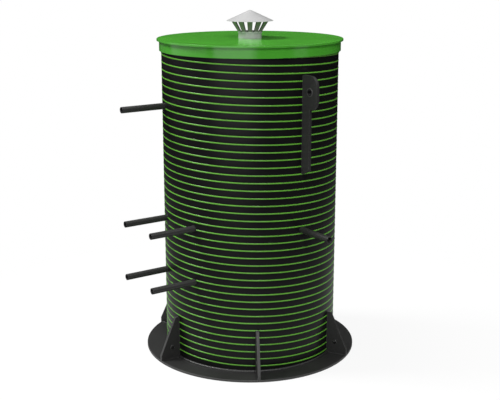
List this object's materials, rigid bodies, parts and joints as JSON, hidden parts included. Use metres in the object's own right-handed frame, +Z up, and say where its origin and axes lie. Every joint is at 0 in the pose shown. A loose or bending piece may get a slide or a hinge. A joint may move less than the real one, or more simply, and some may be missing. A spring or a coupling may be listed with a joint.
{
  "type": "well caisson",
  "caption": "Tall round black plastic well chamber with green wound beads, a vented green lid, a wide foot plate with gussets, lifting lugs and open pipe stubs.",
  "frame": {"origin": "middle of the foot plate's underside", "axes": "+Z up along the chamber's axis; the paired pipe stubs leave toward -X, the single stub and one lifting lug stand toward -Y"},
  "size_m": [1.637, 1.628, 2.362],
  "materials": {
    "black_plastic": "satin black polyethylene",
    "green_plastic": "semi-gloss green polyethylene",
    "grey_plastic": "satin grey polypropylene"
  },
  "bodies": {
    "caisson": {"base_plate": "black_plastic", "casing_sleeve": "black_plastic", "gusset_1": "black_plastic", "gusset_2": "black_plastic", "gusset_3": "black_plastic", "gusset_4": "black_plastic", "gusset_5": "black_plastic", "gusset_6": "black_plastic", "foot_weld": "black_plastic", "pipe_stub_high": "black_plastic", "pipe_stub_middle_rear": "black_plastic", "pipe_stub_middle_front": "black_plastic", "pipe_stub_low_rear": "black_plastic", "pipe_stub_low_front": "black_plastic", "pipe_stub_side": "black_plastic", "wall_segment_1": "black_plastic", "wall_segment_2": "black_plastic", "wall_segment_3": "black_plastic", "wall_segment_4": "black_plastic", "wall_segment_5": "black_plastic", "wall_segment_6": "black_plastic", "wall_segment_7": "black_plastic", "wall_segment_8": "black_plastic", "lifting_lug_1": "black_plastic", "lifting_lug_2": "black_plastic"},
    "lid": {"lid_plate": "green_plastic", "lid_skirt": "green_plastic", "vent_neck": "grey_plastic", "vent_slats": "grey_plastic", "vent_cap": "grey_plastic"}
  },
  "joints": [
    {"name": "lid_lift", "type": "slide", "parent": "caisson", "child": "lid", "axis": [0, 0, 1], "range_m": [0, 0.3]}
  ]
}
